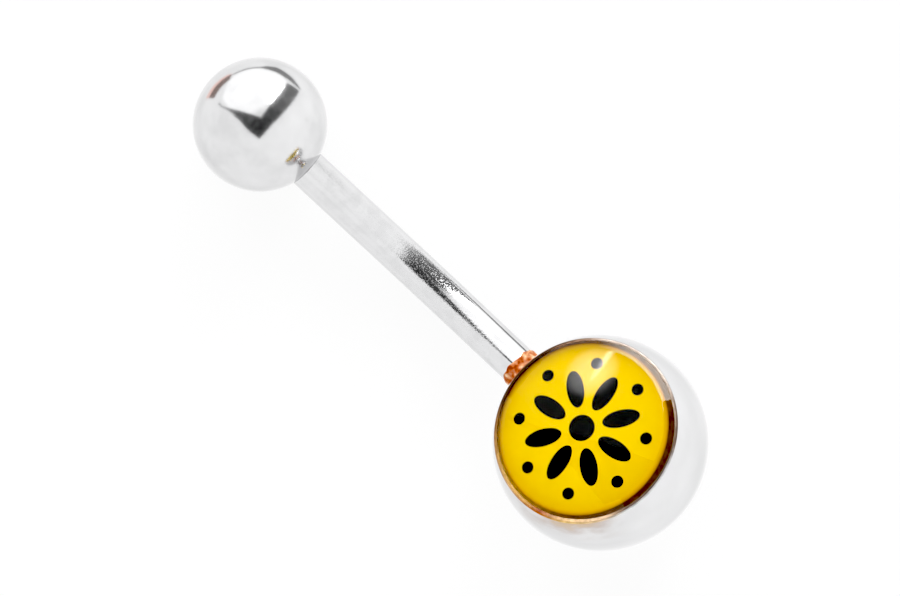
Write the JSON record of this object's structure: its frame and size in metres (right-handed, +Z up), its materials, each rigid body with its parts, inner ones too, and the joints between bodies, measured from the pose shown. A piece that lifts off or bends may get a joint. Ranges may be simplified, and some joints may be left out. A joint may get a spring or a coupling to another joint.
{
  "type": "belly button ring",
  "caption": "Curved barbell for a navel piercing: a domed round picture set in the lower ball and a smaller ball that unscrews from the top end.",
  "frame": {"origin": "centre of the bounding box, on the surface that both balls rest on", "axes": "+X from the lower ball to the top ball, +Y across the bar, +Z up out of the surface"},
  "size_m": [0.0238, 0.008, 0.0072],
  "materials": {
    "polished_steel": "mirror polished surgical steel, heat tinted orange brown at the solder collar",
    "print": "yellow print with a black pattern",
    "clear_resin": "clear, glossy"
  },
  "bodies": {
    "bar": {"bar_with_cup": "polished_steel", "picture_disc": "print", "resin_dome": "clear_resin"},
    "ball": {"top_ball": "polished_steel"}
  },
  "joints": [
    {"name": "ball_unscrew", "type": "slide", "parent": "bar", "child": "ball", "axis": [0.9831, 0, 0.1833], "range_m": [0, 0.0032]}
  ]
}
